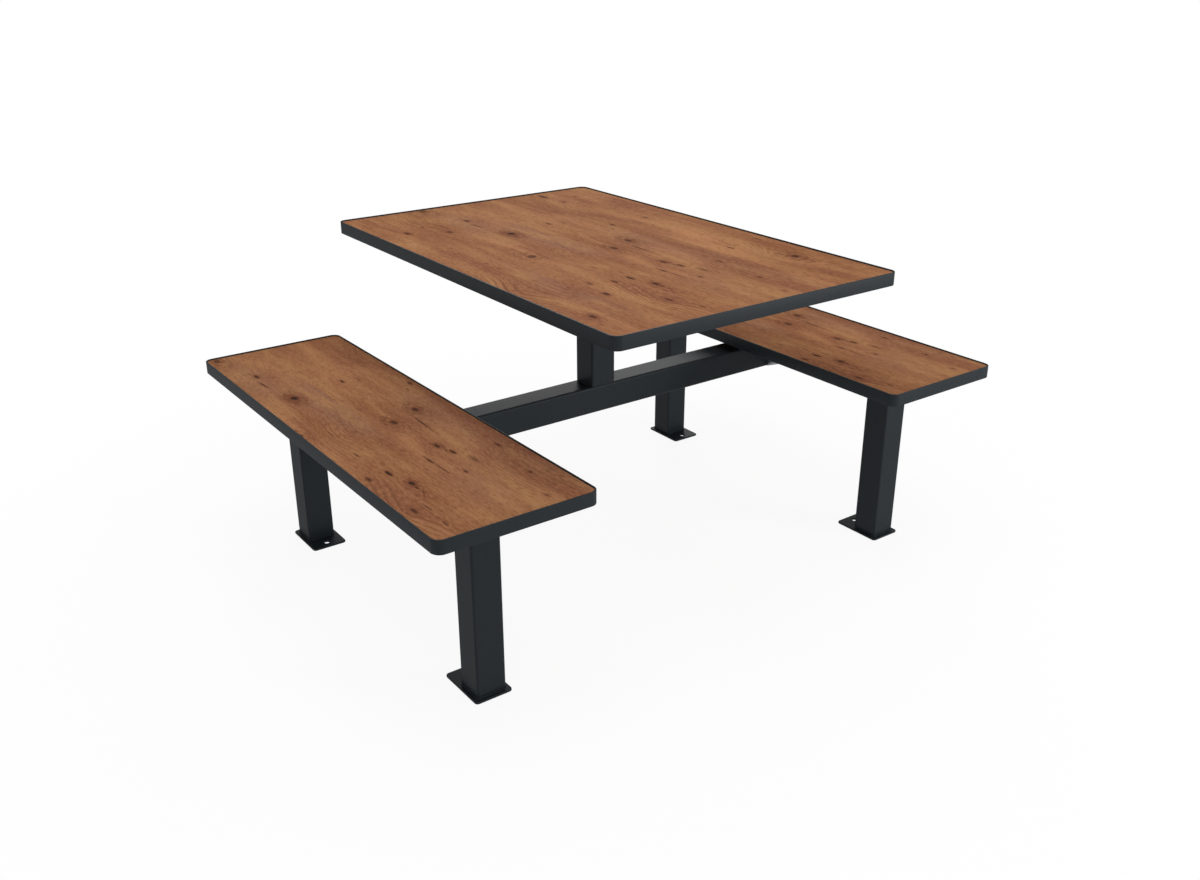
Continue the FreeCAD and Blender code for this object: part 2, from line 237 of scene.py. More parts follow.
@dataclass(frozen=True)
class OakLaminate:
    """High-pressure laminate with a rustic oak print under a matt, faintly embossed overlay.

    The print gives long soft streaks of several browns, fine dark pores, cathedral figure, and ragged dark
    knots and cracks with a reddish halo. The overlay gives a broad weak sheen with no clear reflection.
    """

    name: str = "hpl_rustic_oak"
    ground: Oak = Oak.DEEP
    tone: Noise = Noise(70.0, 640.0, 0.0, 2.0, 0.5)
    clouds: Noise = Noise(46.0, 210.0, 11.3, 3.0, 0.55)
    streaks: Noise = Noise(4.5, 120.0, 3.7, 5.0, 0.62)
    pores: Noise = Noise(3.0, 18.0, 8.1, 2.0, 0.6)  # drawn coarser than real pores, so that they show
    ragged: Noise = Noise(3.5, 10.0, 5.3, 3.0, 0.6)  # of a knot's edge
    noise_mean: float = 0.5
    ragged_depth: float = 10.0  # millimetres that a knot's edge strays from its oval
    ragged_halo: float = 1.6  # how far the halo strays with it
    shade_depth: float = 0.16  # of the tone under a full shade
    ring: float = 10.5  # millimetres between growth rings
    ring_waver: float = 5.0  # radians that the streaks shift the rings by
    tints: tuple[Tint, ...] = (
        Tint(Oak.MIDDLE, Pattern.TONE, 0.25, 0.56),
        Tint(Oak.PALE, Pattern.TONE, 0.5, 0.8),
        # Mauve where the shade is above 0: the print's purple-brown clouds, and over the right front also a
        # painted cool sheen
        Tint(Oak.MAUVE, Pattern.SHADE, 0.0, 0.8, 0.55),
        Tint(Oak.TAN, Pattern.CLOUDS, 0.48, 0.7, 0.75),
        Tint(Oak.ROSE, Pattern.CLOUDS, 0.5, 0.3, 0.75),
        Tint(Oak.PALE, Pattern.STREAKS, 0.5, 0.75, 0.4),
        Tint(Oak.DEEP, Pattern.STREAKS, 0.5, 0.25, 0.42),
        Tint(Oak.PORE, Pattern.RINGS, 0.1, 1.0, 0.85, PrintField.CATHEDRAL),
        Tint(Oak.PORE, Pattern.PORES, 0.53, 0.68, 0.6),
        Tint(Oak.PALE, Pattern.PORES, 0.47, 0.32, 0.42),
        Tint(Oak.HALO, Pattern.HALO, 0.1, 1.0, 0.78),
        Tint(Oak.HALO, Pattern.KNOT_EDGE, 2.8, -1.0, 0.6, PrintField.KNOT_DARK),
        Tint(Oak.HEART, Pattern.KNOT_EDGE, 0.9, -2.3, 1.0, PrintField.KNOT_DARK),
    )
    dip_start: float = 0.58  # from this value on, a pore is pressed into the overlay
    dip_full: float = 0.76
    dip_depth: float = 0.6  # against the streaks
    emboss: float = 0.12  # millimetres
    emboss_strength: float = 0.35
    roughness: float = 0.5
    pore_roughness: float = 0.12  # more than that in the pores
    sheen_coat: float = 0.03

    def material(self) -> Material:
        """Builds the print from the sheet's own attributes.

        Returns:
            The material.
        """
        material, tree = new_material(self.name)
        fields = {}
        for item in PrintField:
            fields[item] = add_node(tree, "ShaderNodeAttribute", take="Fac", attribute_name=item.value)
        place = add_node(tree, "ShaderNodeTexCoord", take="Object")
        along = add_node(tree, "ShaderNodeSeparateXYZ", {0: place}, "Y")

        def grain(noise: Noise) -> Socket:
            """Makes a noise that follows the figure.

            Args:
                noise: Its size and character.

            Returns:
                The noise's value.
            """
            inputs = {0: fields[PrintField.FIGURE], 1: noise.across}
            side = add_node(tree, "ShaderNodeMath", inputs, operation="DIVIDE")
            length = add_node(tree, "ShaderNodeMath", {0: along, 1: noise.along * MM}, operation="DIVIDE")
            vector = add_node(tree, "ShaderNodeCombineXYZ", {0: side, 1: length, 2: noise.layer})
            inputs = {"Vector": vector, "Scale": 1.0, "Detail": noise.detail, "Roughness": noise.rough}
            return add_node(tree, "ShaderNodeTexNoise", inputs)

        streaks = grain(self.streaks)
        pores = grain(self.pores)
        inputs = {0: grain(self.ragged), 1: self.noise_mean}
        stray = add_node(tree, "ShaderNodeMath", inputs, operation="SUBTRACT")
        inputs = {0: fields[PrintField.RINGS], 1: math.tau / self.ring}
        turns = add_node(tree, "ShaderNodeMath", inputs, operation="MULTIPLY")
        sums = {
            Pattern.TONE: (fields[PrintField.SHADE], -self.shade_depth, grain(self.tone)),
            Pattern.RINGS: (streaks, self.ring_waver, turns),
            Pattern.HALO: (stray, self.ragged_halo, fields[PrintField.HALO]),
            Pattern.KNOT_EDGE: (stray, self.ragged_depth, fields[PrintField.KNOT_GAP]),
        }
        patterns = {
            Pattern.SHADE: fields[PrintField.SHADE],
            Pattern.CLOUDS: grain(self.clouds),
            Pattern.STREAKS: streaks,
            Pattern.PORES: pores,
        }
        for pattern, terms in sums.items():
            inputs = dict(enumerate(terms))
            patterns[pattern] = add_node(tree, "ShaderNodeMath", inputs, operation="MULTIPLY_ADD")
        inputs = {0: patterns[Pattern.RINGS]}
        patterns[Pattern.RINGS] = add_node(tree, "ShaderNodeMath", inputs, operation="COSINE")

        colour = linear(self.ground.value)
        for tint in self.tints:
            inputs = {"Value": patterns[tint.pattern], "From Min": tint.start, "From Max": tint.full}
            inputs["To Max"] = tint.strength
            share = add_node(tree, "ShaderNodeMapRange", inputs, interpolation_type="SMOOTHSTEP")
            if tint.within:
                inputs = {0: share, 1: fields[tint.within]}
                share = add_node(tree, "ShaderNodeMath", inputs, operation="MULTIPLY")
            inputs = {MIX_FACTOR: share, MIX_COLOUR_A: colour, MIX_COLOUR_B: linear(tint.colour.value)}
            colour = add_node(tree, "ShaderNodeMix", inputs, MIX_COLOUR, data_type="RGBA")

        inputs = {"Value": pores, "From Min": self.dip_start, "From Max": self.dip_full}
        inputs["To Max"] = self.dip_depth
        dips = add_node(tree, "ShaderNodeMapRange", inputs, interpolation_type="SMOOTHSTEP")
        height = add_node(tree, "ShaderNodeMath", {0: streaks, 1: dips}, operation="SUBTRACT")
        inputs = {"Height": height, "Strength": self.emboss_strength, "Distance": self.emboss * MM}
        bump = add_node(tree, "ShaderNodeBump", inputs)
        inputs = {0: pores, 1: self.pore_roughness, 2: self.roughness}
        rough = add_node(tree, "ShaderNodeMath", inputs, operation="MULTIPLY_ADD")
        shader = add_node(tree, "ShaderNodeBsdfPrincipled", {
            "Base Color": colour,
            "Roughness": rough,
            "Normal": bump,
            "Specular IOR Level": 0.0,
            "Coat Weight": self.sheen_coat,
            "Coat Roughness": self.roughness,
        })
        add_node(tree, "ShaderNodeOutputMaterial", {"Surface": shader})
        return material


@dataclass(frozen=True)
class MottledFinish:
    """A finish with one colour that drifts a little to another, and a fine even texture in relief.

    It serves the coats, plastics and platings here: the drift keeps a large face from looking flat, and the
    texture breaks up the reflections as a sprayed, moulded or plated surface does.
    """

    name: str
    colour: str
    drift: str
    drift_size: tuple[float, float, float]  # millimetres
    texture_size: float  # millimetres
    relief: float  # millimetres
    roughness: float
    metallic: float = 0.0
    specular: float = 0.5
    coat: float = 0.0
    drift_detail: float = 4.0
    texture_detail: float = 3.0
    relief_strength: float = 0.5
    rough_spread: float = 0.06  # either way, with the texture

    def material(self) -> Material:
        """Builds the finish.

        Returns:
            The material.
        """
        material, tree = new_material(self.name)
        inputs = {"Vector": real_size(tree, self.drift_size), "Scale": 1.0, "Detail": self.drift_detail}
        drift = add_node(tree, "ShaderNodeTexNoise", inputs)
        inputs = {MIX_FACTOR: drift, MIX_COLOUR_A: linear(self.colour), MIX_COLOUR_B: linear(self.drift)}
        colour = add_node(tree, "ShaderNodeMix", inputs, MIX_COLOUR, data_type="RGBA")
        place = real_size(tree, (self.texture_size,) * 3)
        inputs = {"Vector": place, "Scale": 1.0, "Detail": self.texture_detail}
        texture = add_node(tree, "ShaderNodeTexNoise", inputs)
        inputs = {"Height": texture, "Strength": self.relief_strength, "Distance": self.relief * MM}
        bump = add_node(tree, "ShaderNodeBump", inputs)
        smoothest = self.roughness - self.rough_spread
        inputs = {"Value": texture, "To Min": smoothest, "To Max": self.roughness + self.rough_spread}
        rough = add_node(tree, "ShaderNodeMapRange", inputs)
        shader = add_node(tree, "ShaderNodeBsdfPrincipled", {
            "Base Color": colour,
            "Roughness": rough,
            "Normal": bump,
            "Metallic": self.metallic,
            "Specular IOR Level": self.specular,
            "Coat Weight": self.coat,
            "Coat Roughness": self.roughness,
        })
        add_node(tree, "ShaderNodeOutputMaterial", {"Surface": shader})
        return material


@dataclass(frozen=True)
class Chipboard:
    """Raw chipboard: pressed wood flakes of many browns, with a dry open face that scatters light."""

    name: str = "chipboard"
    pale: str = "#c9a878"
    deep: str = "#8a673f"
    flake: float = 3.5  # millimetres
    relief: float = 0.2  # millimetres
    relief_strength: float = 0.4
    roughness: float = 0.85

    def material(self) -> Material:
        """Builds the flakes from cells of random tone.

        Returns:
            The material.
        """
        material, tree = new_material(self.name)
        place = real_size(tree, (self.flake,) * 3)
        cells = add_node(tree, "ShaderNodeTexVoronoi", {"Vector": place, "Scale": 1.0}, "Color")
        tone = add_node(tree, "ShaderNodeSeparateColor", {0: cells}, "Red")
        inputs = {MIX_FACTOR: tone, MIX_COLOUR_A: linear(self.pale), MIX_COLOUR_B: linear(self.deep)}
        colour = add_node(tree, "ShaderNodeMix", inputs, MIX_COLOUR, data_type="RGBA")
        relief = cells.node.outputs["Distance"]
        inputs = {"Height": relief, "Strength": self.relief_strength, "Distance": self.relief * MM}
        bump = add_node(tree, "ShaderNodeBump", inputs)
        inputs = {"Base Color": colour, "Roughness": self.roughness, "Normal": bump}
        shader = add_node(tree, "ShaderNodeBsdfPrincipled", inputs)
        add_node(tree, "ShaderNodeOutputMaterial", {"Surface": shader})
        return material


FINISHES = {
    Slot.OAK: OakLaminate(),
    # Plain brown paper in resin, with a weak grain along the board
    Slot.BACKING: MottledFinish(
        "brown_backing_laminate", "#7d563d", "#91674a", drift_size=(9.0, 240.0, 9.0),
        texture_size=3.0, relief=0.04, roughness=0.55,
    ),
    Slot.CHIPBOARD: Chipboard(),
    # Moulded plastic with a fine pearl texture that takes away hard reflections
    Slot.EDGE_BAND: MottledFinish(
        "abs_edge_band", "#22282c", "#272d31", drift_size=(90.0, 90.0, 90.0),
        texture_size=1.6, relief=0.06, roughness=0.42, specular=0.0, coat=0.28,
    ),
    # A matt body under a thin satin film, with the faint orange peel of a baked spray
    Slot.PAINT: MottledFinish(
        "polyester_powder_coat", "#21272b", "#262c30", drift_size=(180.0, 180.0, 180.0),
        texture_size=2.2, relief=0.05, roughness=0.4, specular=0.0, coat=0.25,
    ),
    # Dull passivated silver, with cloudy patches from the bath
    Slot.ZINC_PLATE: MottledFinish(
        "zinc_plated_steel", "#b4b7b8", "#9ea2a4", drift_size=(14.0, 14.0, 14.0),
        texture_size=2.0, relief=0.02, roughness=0.42, metallic=1.0,
    ),
    # Brighter zinc, with small tool marks
    Slot.ZINC_FASTENER: MottledFinish(
        "zinc_plated_fastener", "#c2c4c2", "#a9acad", drift_size=(3.0, 3.0, 3.0),
        texture_size=0.8, relief=0.02, roughness=0.32, metallic=1.0,
    ),
    # Soft black plastic with a moulded leather texture
    Slot.CAP: MottledFinish(
        "polyethylene_cap", "#1b1c1d", "#222425", drift_size=(20.0, 20.0, 20.0),
        texture_size=1.2, relief=0.08, roughness=0.5,
    ),
}
Palette = dict[Slot, Material]


def new_piece(name: str, mesh: Mesh, palette: Palette, slot: Slot, *nodes: str) -> None:
    """Puts a finished mesh into the scene as a piece of the object.

    Args:
        name: The piece's name.
        mesh: Its mesh, already in place.
        palette: The finishes.
        slot: The record's slot for its finish.
        nodes: The CAD nodes that the piece stands for.
    """
    material = palette[slot]
    mesh.name = name
    if not mesh.materials:
        mesh.materials.append(material)
    mesh.shade_smooth()
    mesh.set_sharp_from_angle(angle=SMOOTH_UP_TO)
    piece = bpy.data.objects.new(name, mesh)
    bpy.context.scene.collection.objects.link(piece)
    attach(piece, BODY)
    if nodes:
        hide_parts(*nodes)
    log.info("%s: %d faces, %s", name, len(mesh.polygons), material.name)


def dress(node: str, material: Material) -> None:
    """Gives a CAD node its finish.

    Args:
        node: The node's name.
        material: The finish.
    """
    for material_slot in frame["nodes"][node].material_slots:
        material_slot.material = material
    log.info("%s: kept, %s", node, material.name)


def size_and_middle(node: str) -> tuple[Vector, Vector]:
    """Measures a CAD node.

    Args:
        node: The node's name.

    Returns:
        Its size along the three axes, and the middle of its box, in metres.
    """
    low, high = (Vector(corner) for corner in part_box(node))
    return high - low, (low + high) / 2


def solid_boxes(node: str) -> list[tuple[Vector, Vector]]:
    """Finds the box of each separate solid in a CAD node.

    Args:
        node: The name of a node that is a group of like solids.

    Returns:
        The lowest and highest corner of each solid, in the order of the lowest corners.
    """
    shape = bmesh.new()
    shape.from_mesh(frame["nodes"][node].data)
    bmesh.ops.remove_doubles(shape, verts=shape.verts, dist=MERGE_WITHIN)
    waiting = set(shape.verts)
    boxes = []
    while waiting:
        found = [waiting.pop()]
        for vertex in found:
            neighbours = {edge.other_vert(vertex) for edge in vertex.link_edges} & waiting
            waiting -= neighbours
            found += neighbours
        low = Vector(min(vertex.co[axis] for vertex in found) for axis in range(3))
        high = Vector(max(vertex.co[axis] for vertex in found) for axis in range(3))
        boxes.append((low, high))
    shape.free()
    return sorted(boxes, key=lambda box: tuple(box[0]))


def join_loops(shape: Shape, loops: Sequence[Sequence[bmesh.types.BMVert]]) -> None:
    """Joins each loop of points to the next with a band of faces.

    Args:
        shape: The shape that the points belong to.
        loops: The loops, each with as many points.
    """
    for lower, upper in zip(loops, loops[1:]):
        for number in range(len(lower)):
            following = (number + 1) % len(lower)
            shape.faces.new((lower[number], lower[following], upper[following], upper[number]))


def close_shape(shape: Shape, name: str) -> Mesh:
    """Turns a closed shape's faces outwards and makes it a plain mesh.

    Args:
        shape: The shape, which is freed.
        name: The mesh's name.

    Returns:
        The mesh.
    """
    bmesh.ops.recalc_face_normals(shape, faces=shape.faces)
    mesh = bpy.data.meshes.new(name)
    shape.to_mesh(mesh)
    shape.free()
    return mesh


@dataclass
class NodeRecipe:
    """A Geometry Nodes tree that is filled in, run once and turned to a plain mesh."""

    name: str
    tree: Tree = field(init=False)
    sockets: dict[str, str] = field(init=False, default_factory=dict)
    group_input: bpy.types.Node = field(init=False)

    def __post_init__(self) -> None:
        """Starts an empty tree with its group input."""
        self.tree = bpy.data.node_groups.new(self.name, "GeometryNodeTree")
        for way in ("INPUT", "OUTPUT"):
            self.tree.interface.new_socket("Geometry", in_out=way, socket_type="NodeSocketGeometry")
        self.group_input = self.tree.nodes.new("NodeGroupInput")

    def ask(self, label: str, kind: str = "NodeSocketFloat") -> Socket:
        """Adds a named input.

        Args:
            label: The input's name.
            kind: The socket's type.

        Returns:
            The socket that gives its value inside the tree.
        """
        item = self.tree.interface.new_socket(label, in_out="INPUT", socket_type=kind)
        self.sockets[label] = item.identifier
        return self.group_input.outputs[label]

    def add(
        self, kind: str, inputs: dict | None = None, take: str | int = 0, **settings: object
    ) -> Socket | None:
        """Adds a node to the tree."""
        return add_node(self.tree, kind, inputs, take, **settings)

    def finish(self, geometry: Socket, material: Material) -> None:
        """Ends the tree in real geometry with a material.

        Args:
            geometry: What the tree has made.
            material: The finish.
        """
        real = self.add("GeometryNodeRealizeInstances", {"Geometry": geometry})
        dressed = self.add("GeometryNodeSetMaterial", {"Geometry": real, "Material": material})
        self.add("NodeGroupOutput", {"Geometry": dressed})

    def run(self, values: dict[str, object], points: Sequence[Vector] = ()) -> Mesh:
        """Runs the tree.

        Args:
            values: What goes into the named inputs.
            points: The points that the tree starts from, if it needs any.

        Returns:
            The result as a plain mesh.
        """
        seed = bpy.data.meshes.new(self.name)
        seed.from_pydata([tuple(point) for point in points], [], [])
        carrier = bpy.data.objects.new(self.name, seed)
        bpy.context.scene.collection.objects.link(carrier)
        modifier = carrier.modifiers.new(self.name, "NODES")
        modifier.node_group = self.tree
        for label, value in values.items():
            modifier[self.sockets[label]] = value
        bpy.context.view_layer.update()
        evaluated = carrier.evaluated_get(bpy.context.evaluated_depsgraph_get())
        mesh = bpy.data.meshes.new_from_object(evaluated)
        carrier.modifiers.remove(modifier)
        bpy.data.objects.remove(carrier)
        bpy.data.meshes.remove(seed)
        return mesh


@dataclass(frozen=True)
class Knot:
    """A knot or crack of the oak print, in millimetres from the middle of the sheet, with its half sizes."""

    across: float
    along: float
    half_width: float
    half_length: float
    dark: float
    halo: float = 0.0  # reach of the reddish ring round it
    lean: float = 0.0  # millimetres across that a crack drifts over its half length


@dataclass(frozen=True)
class Patch:
    """A soft oval of the oak print, in millimetres: a shade, or a place where the growth rings arch."""

    across: float
    along: float
    half_width: float
    half_length: float
    amount: float

    def hill(self, across: np.ndarray, along: np.ndarray) -> np.ndarray:
        """Gives a soft oval hill of height 1.

        Args:
            across: Millimetres from the sheet's middle across the grain.
            along: Millimetres from the sheet's middle along the grain.

        Returns:
            The hill's height at each place.
        """
        side = (across - self.across) / self.half_width
        length = (along - self.along) / self.half_length
        return np.exp(-side ** 2 - length ** 2)


@dataclass(frozen=True)
class Stave:
    """A joint between two staves of the print, in millimetres from the middle of the sheet."""

    across: float
    shows_at: float  # along the joint


# Knots and cracks of the print, roughly from the rear of the sheet to its front
KNOTS = (
    Knot(-148, 556, 8, 14, 0.6, 36),
    Knot(208, 528, 4.5, 24, 0.9, 14),
    Knot(281, 484, 4, 9, 0.45, 12),
    Knot(217, 440, 7, 9, 0.5, 16),
    Knot(-235, 398, 4, 9, 0.4, 14),
    Knot(-111, 394, 4, 15, 0.85, 12),
    Knot(-192, 375, 1.5, 45, 0.35),
    Knot(-16, 362, 2.5, 14, 0.5),
    Knot(-295, 362, 5, 12, 0.85, 16),
    Knot(-119, 335, 3, 24, 0.6, 10, -2),
    Knot(-206, 314, 5, 12, 0.65, 18),
    Knot(37, 248, 3.5, 11, 0.75, 10),
    Knot(73, 240, 3, 18, 0.35),
    Knot(-95, 212, 7.5, 12, 1.0, 32),
    Knot(273, 160, 5, 9, 0.5, 12),
    Knot(158, 146, 3.5, 14, 0.75, 8),
    Knot(135, 112, 2.5, 11, 0.55),
    Knot(-288, 8, 2.5, 10, 0.5),
    Knot(-175, 0, 11, 13, 0.6, 42),
    Knot(91, -8, 7, 12, 0.8, 38),
    Knot(-115, -26, 2, 18, 0.5),
    Knot(-288, -46, 2.5, 11, 0.6),
    Knot(19, -46, 7, 12, 0.75, 38),
    Knot(66, -85, 2.2, 42, 0.8, 0, 2),
    Knot(-119, -158, 2.2, 13, 0.6),
    Knot(257, -168, 2, 30, 0.6, 0, 3),
    Knot(346, -176, 2.5, 16, 0.65),
    Knot(236, -203, 4, 11, 0.6, 10),
    Knot(32, -210, 3.8, 13, 0.9, 20),
    Knot(37, -232, 1.6, 26, 0.6, 0, 6),
    Knot(43, -255, 2.8, 13, 1.0, 10),
    Knot(-254, -257, 2, 7, 0.6),
    Knot(-201, -255, 3, 13, 0.65, 8),
    Knot(-15, -265, 2.4, 20, 0.75, 9),
    Knot(-13, -312, 2, 30, 0.6),
    Knot(-107, -272, 3.2, 17, 1.0, 10),
    Knot(-150, -274, 3.4, 10, 0.9, 11),
    Knot(134, -278, 4, 13, 0.65, 10),
    Knot(60, -312, 5, 20, 0.4, 16),
    Knot(-218, -337, 4, 9, 1.0, 12),
    Knot(-92, -338, 4.8, 12, 1.0, 18),
    Knot(-94, -363, 2.5, 8, 0.7),
    Knot(-94, -388, 1.6, 23, 0.45, 0, 10),
    Knot(300, -345, 9, 11, 0.8, 42),
    Knot(17, -351, 3.5, 7, 0.65, 8),
    Knot(116, -427, 3.5, 5, 0.7, 8),
    Knot(-143, -443, 4, 13, 0.7, 16),
    Knot(-329, -444, 4.6, 10, 1.0, 18),
    Knot(-117, -446, 1.8, 17, 0.75),
    Knot(257, -495, 4, 7, 0.35, 14),
    Knot(-122, -518, 1.8, 13, 0.7),
    Knot(85, -530, 4, 9, 0.4, 12),
)
# Joints between the staves of the print: the tone steps from dark to light there, most of all at one place
STAVES = (Stave(-242, -290), Stave(-27, 170), Stave(188, -230))
# Broad shades of the print: above 0 is darker. The wide one over the right front is partly print and partly
# a painted sheen: it gives that part a cooler tone
SHADES = (
    Patch(-40, 80, 45, 150, 0.9),
    # Partly print, partly painted sheen: a darker, cooler patch over the right front of the sheet
    Patch(170, -420, 130, 260, 0.3),
    Patch(0, -430, 60, 150, 0.4),
    Patch(-250, -250, 60, 130, 0.4),
    Patch(-130, 390, 45, 170, 0.6),
    Patch(110, 30, 60, 190, 0.6),
    Patch(75, 270, 60, 150, -0.9),
    Patch(262, -40, 70, 330, -1.1),
    Patch(-140, -100, 40, 120, -0.6),
    Patch(-130, -390, 45, 110, -1.0),
)
# Cathedral figure: the growth rings arch round these places
CATHEDRALS = (
    Patch(-376, -225, 62, 120, 52.0),
    Patch(-170, -420, 55, 130, 40.0),
    Patch(-112, -40, 38, 100, 26.0),
    Patch(98, -400, 45, 120, 18.0),
    Patch(262, -330, 70, 130, 30.0),
    Patch(190, 330, 60, 170, 24.0),
    Patch(-230, 470, 60, 130, 26.0),
)


@dataclass(frozen=True)
class OakPrint:
    """The fields that lay out the oak print over a sheet. Sizes are in millimetres."""

    far: float = 20.0  # the gap to a knot is not followed further than this
    crack_edge: float = 5.0  # a thinner crack has as crisp an edge as a knot of this half width
    knot_push: float = 0.6  # how far a knot pushes the grain aside
    least_push: float = 2.5  # reach of that push, in half widths of the knot
    halo_stretch: float = 1.8  # along the grain
    halo_fall: float = 1.4
    ringed: float = 25.0  # a knot with a wider halo than this has rings round it
    halo_figure: float = 0.7  # strength of those rings
    full_arch: float = 45.0  # rise of an arch whose rings show in full
    least_figure: float = 0.06  # strength of the rings in plain grain
    waver: float = 3.0  # how far plain grain strays from a straight line
    waver_length: float = 70.0
    stave_step: float = 0.5  # of the shade, to either side of a joint
    stave_fade: float = 70.0  # reach of that step across the grain
    stave_reach: float = 260.0  # and along it

    def fields(self, across: np.ndarray, along: np.ndarray) -> dict[PrintField, np.ndarray]:
        """Works out the print's fields at some places.

        Args:
            across: Millimetres from the sheet's middle across the grain.
            along: Millimetres from the sheet's middle along the grain.

        Returns:
            The fields, each with one number for a place.
        """
        figure = across + self.waver * np.sin((along + across) / self.waver_length)
        rings = np.zeros_like(across)
        knot_gap = np.full_like(across, self.far)
        knot_dark = np.zeros_like(across)
        halo = np.zeros_like(across)
        cathedral = np.full_like(across, self.least_figure)
        for mark in KNOTS:
            run = along - mark.along
            side = across - mark.across - mark.lean * run / mark.half_length
            depth = max(mark.half_width, self.crack_edge)
            gap = (np.hypot(side / mark.half_width, run / mark.half_length) - 1) * depth
            knot_dark = np.where(gap < knot_gap, mark.dark, knot_dark)
            knot_gap = np.minimum(gap, knot_gap)
            reach = max(mark.halo, self.least_push * mark.half_width)
            spread = (side / reach) ** 2 + (run / (self.halo_stretch * reach)) ** 2
            figure -= self.knot_push * side * np.exp(-spread)
            if mark.halo:
                halo = np.maximum(halo, mark.dark * np.exp(-spread * self.halo_fall))
            if mark.halo > self.ringed:
                rings += np.exp(-spread) * (np.hypot(side, run / self.halo_stretch) - side)
                cathedral = np.maximum(cathedral, self.halo_figure * np.exp(-spread))
        for arch in CATHEDRALS:
            hill = arch.hill(across, along)
            figure += arch.amount * hill
            cathedral = np.maximum(cathedral, np.sqrt(hill) * min(arch.amount / self.full_arch, 1))
        shade = sum(patch.amount * patch.hill(across, along) for patch in SHADES)
        for joint in STAVES:
            past = across - joint.across
            fall = np.abs(past) / self.stave_fade + ((along - joint.shows_at) / self.stave_reach) ** 2
            shade -= self.stave_step * np.sign(past) * np.exp(-fall)
        return {
            PrintField.FIGURE: figure,
            PrintField.RINGS: figure + rings,
            PrintField.KNOT_GAP: knot_gap,
            PrintField.KNOT_DARK: knot_dark,
            PrintField.HALO: halo,
            PrintField.CATHEDRAL: cathedral,
            PrintField.SHADE: shade,
        }


def edge_band_recipe(material: Material, corner_points: int = 12, edge_points: int = 5) -> NodeRecipe:
    """Makes the tree that runs an edge band round a board.

    Args:
        material: The band's finish.
        corner_points: Points on each round corner of the board.
        edge_points: Points on each rounded edge of the band.

    Returns:
        The recipe, with the board's and the band's sizes as inputs.
    """
    recipe = NodeRecipe("edge_band_round_board")
    width = recipe.ask("Board width")
    length = recipe.ask("Board length")
    height = recipe.ask("Band height")
    thickness = recipe.ask("Band thickness")
    corner = recipe.ask("Corner radius")
    rounding = recipe.ask("Edge rounding")
    outline = recipe.add("GeometryNodeCurvePrimitiveQuadrilateral", {"Width": width, "Height": length})
    inputs = {"Curve": outline, "Radius": corner, "Count": corner_points}
    path = recipe.add("GeometryNodeFilletCurve", inputs, mode="POLY")
    section = recipe.add("GeometryNodeCurvePrimitiveQuadrilateral", {"Width": thickness, "Height": height})
    across = recipe.add("ShaderNodeSeparateXYZ", {0: recipe.add("GeometryNodeInputPosition")}, "X")
    outer = recipe.add("FunctionNodeCompare", {"A": across, "B": 0.0}, operation="GREATER_THAN")
    radius = recipe.add("ShaderNodeMath", {0: outer, 1: rounding}, operation="MULTIPLY")
    inputs = {"Curve": section, "Radius": radius, "Count": edge_points}
    rounded = recipe.add("GeometryNodeFilletCurve", inputs, mode="POLY")
    half = recipe.add("ShaderNodeMath", {0: thickness, 1: -0.5}, operation="MULTIPLY")
    inwards = recipe.add("ShaderNodeCombineXYZ", {"X": half})
    profile = recipe.add("GeometryNodeTransform", {"Geometry": rounded, "Translation": inwards})
    upright = recipe.add("GeometryNodeSetCurveNormal", {"Curve": path}, mode="Z_UP")
    band = recipe.add("GeometryNodeCurveToMesh", {"Curve": upright, "Profile Curve": profile})
    recipe.finish(band, material)
    return recipe


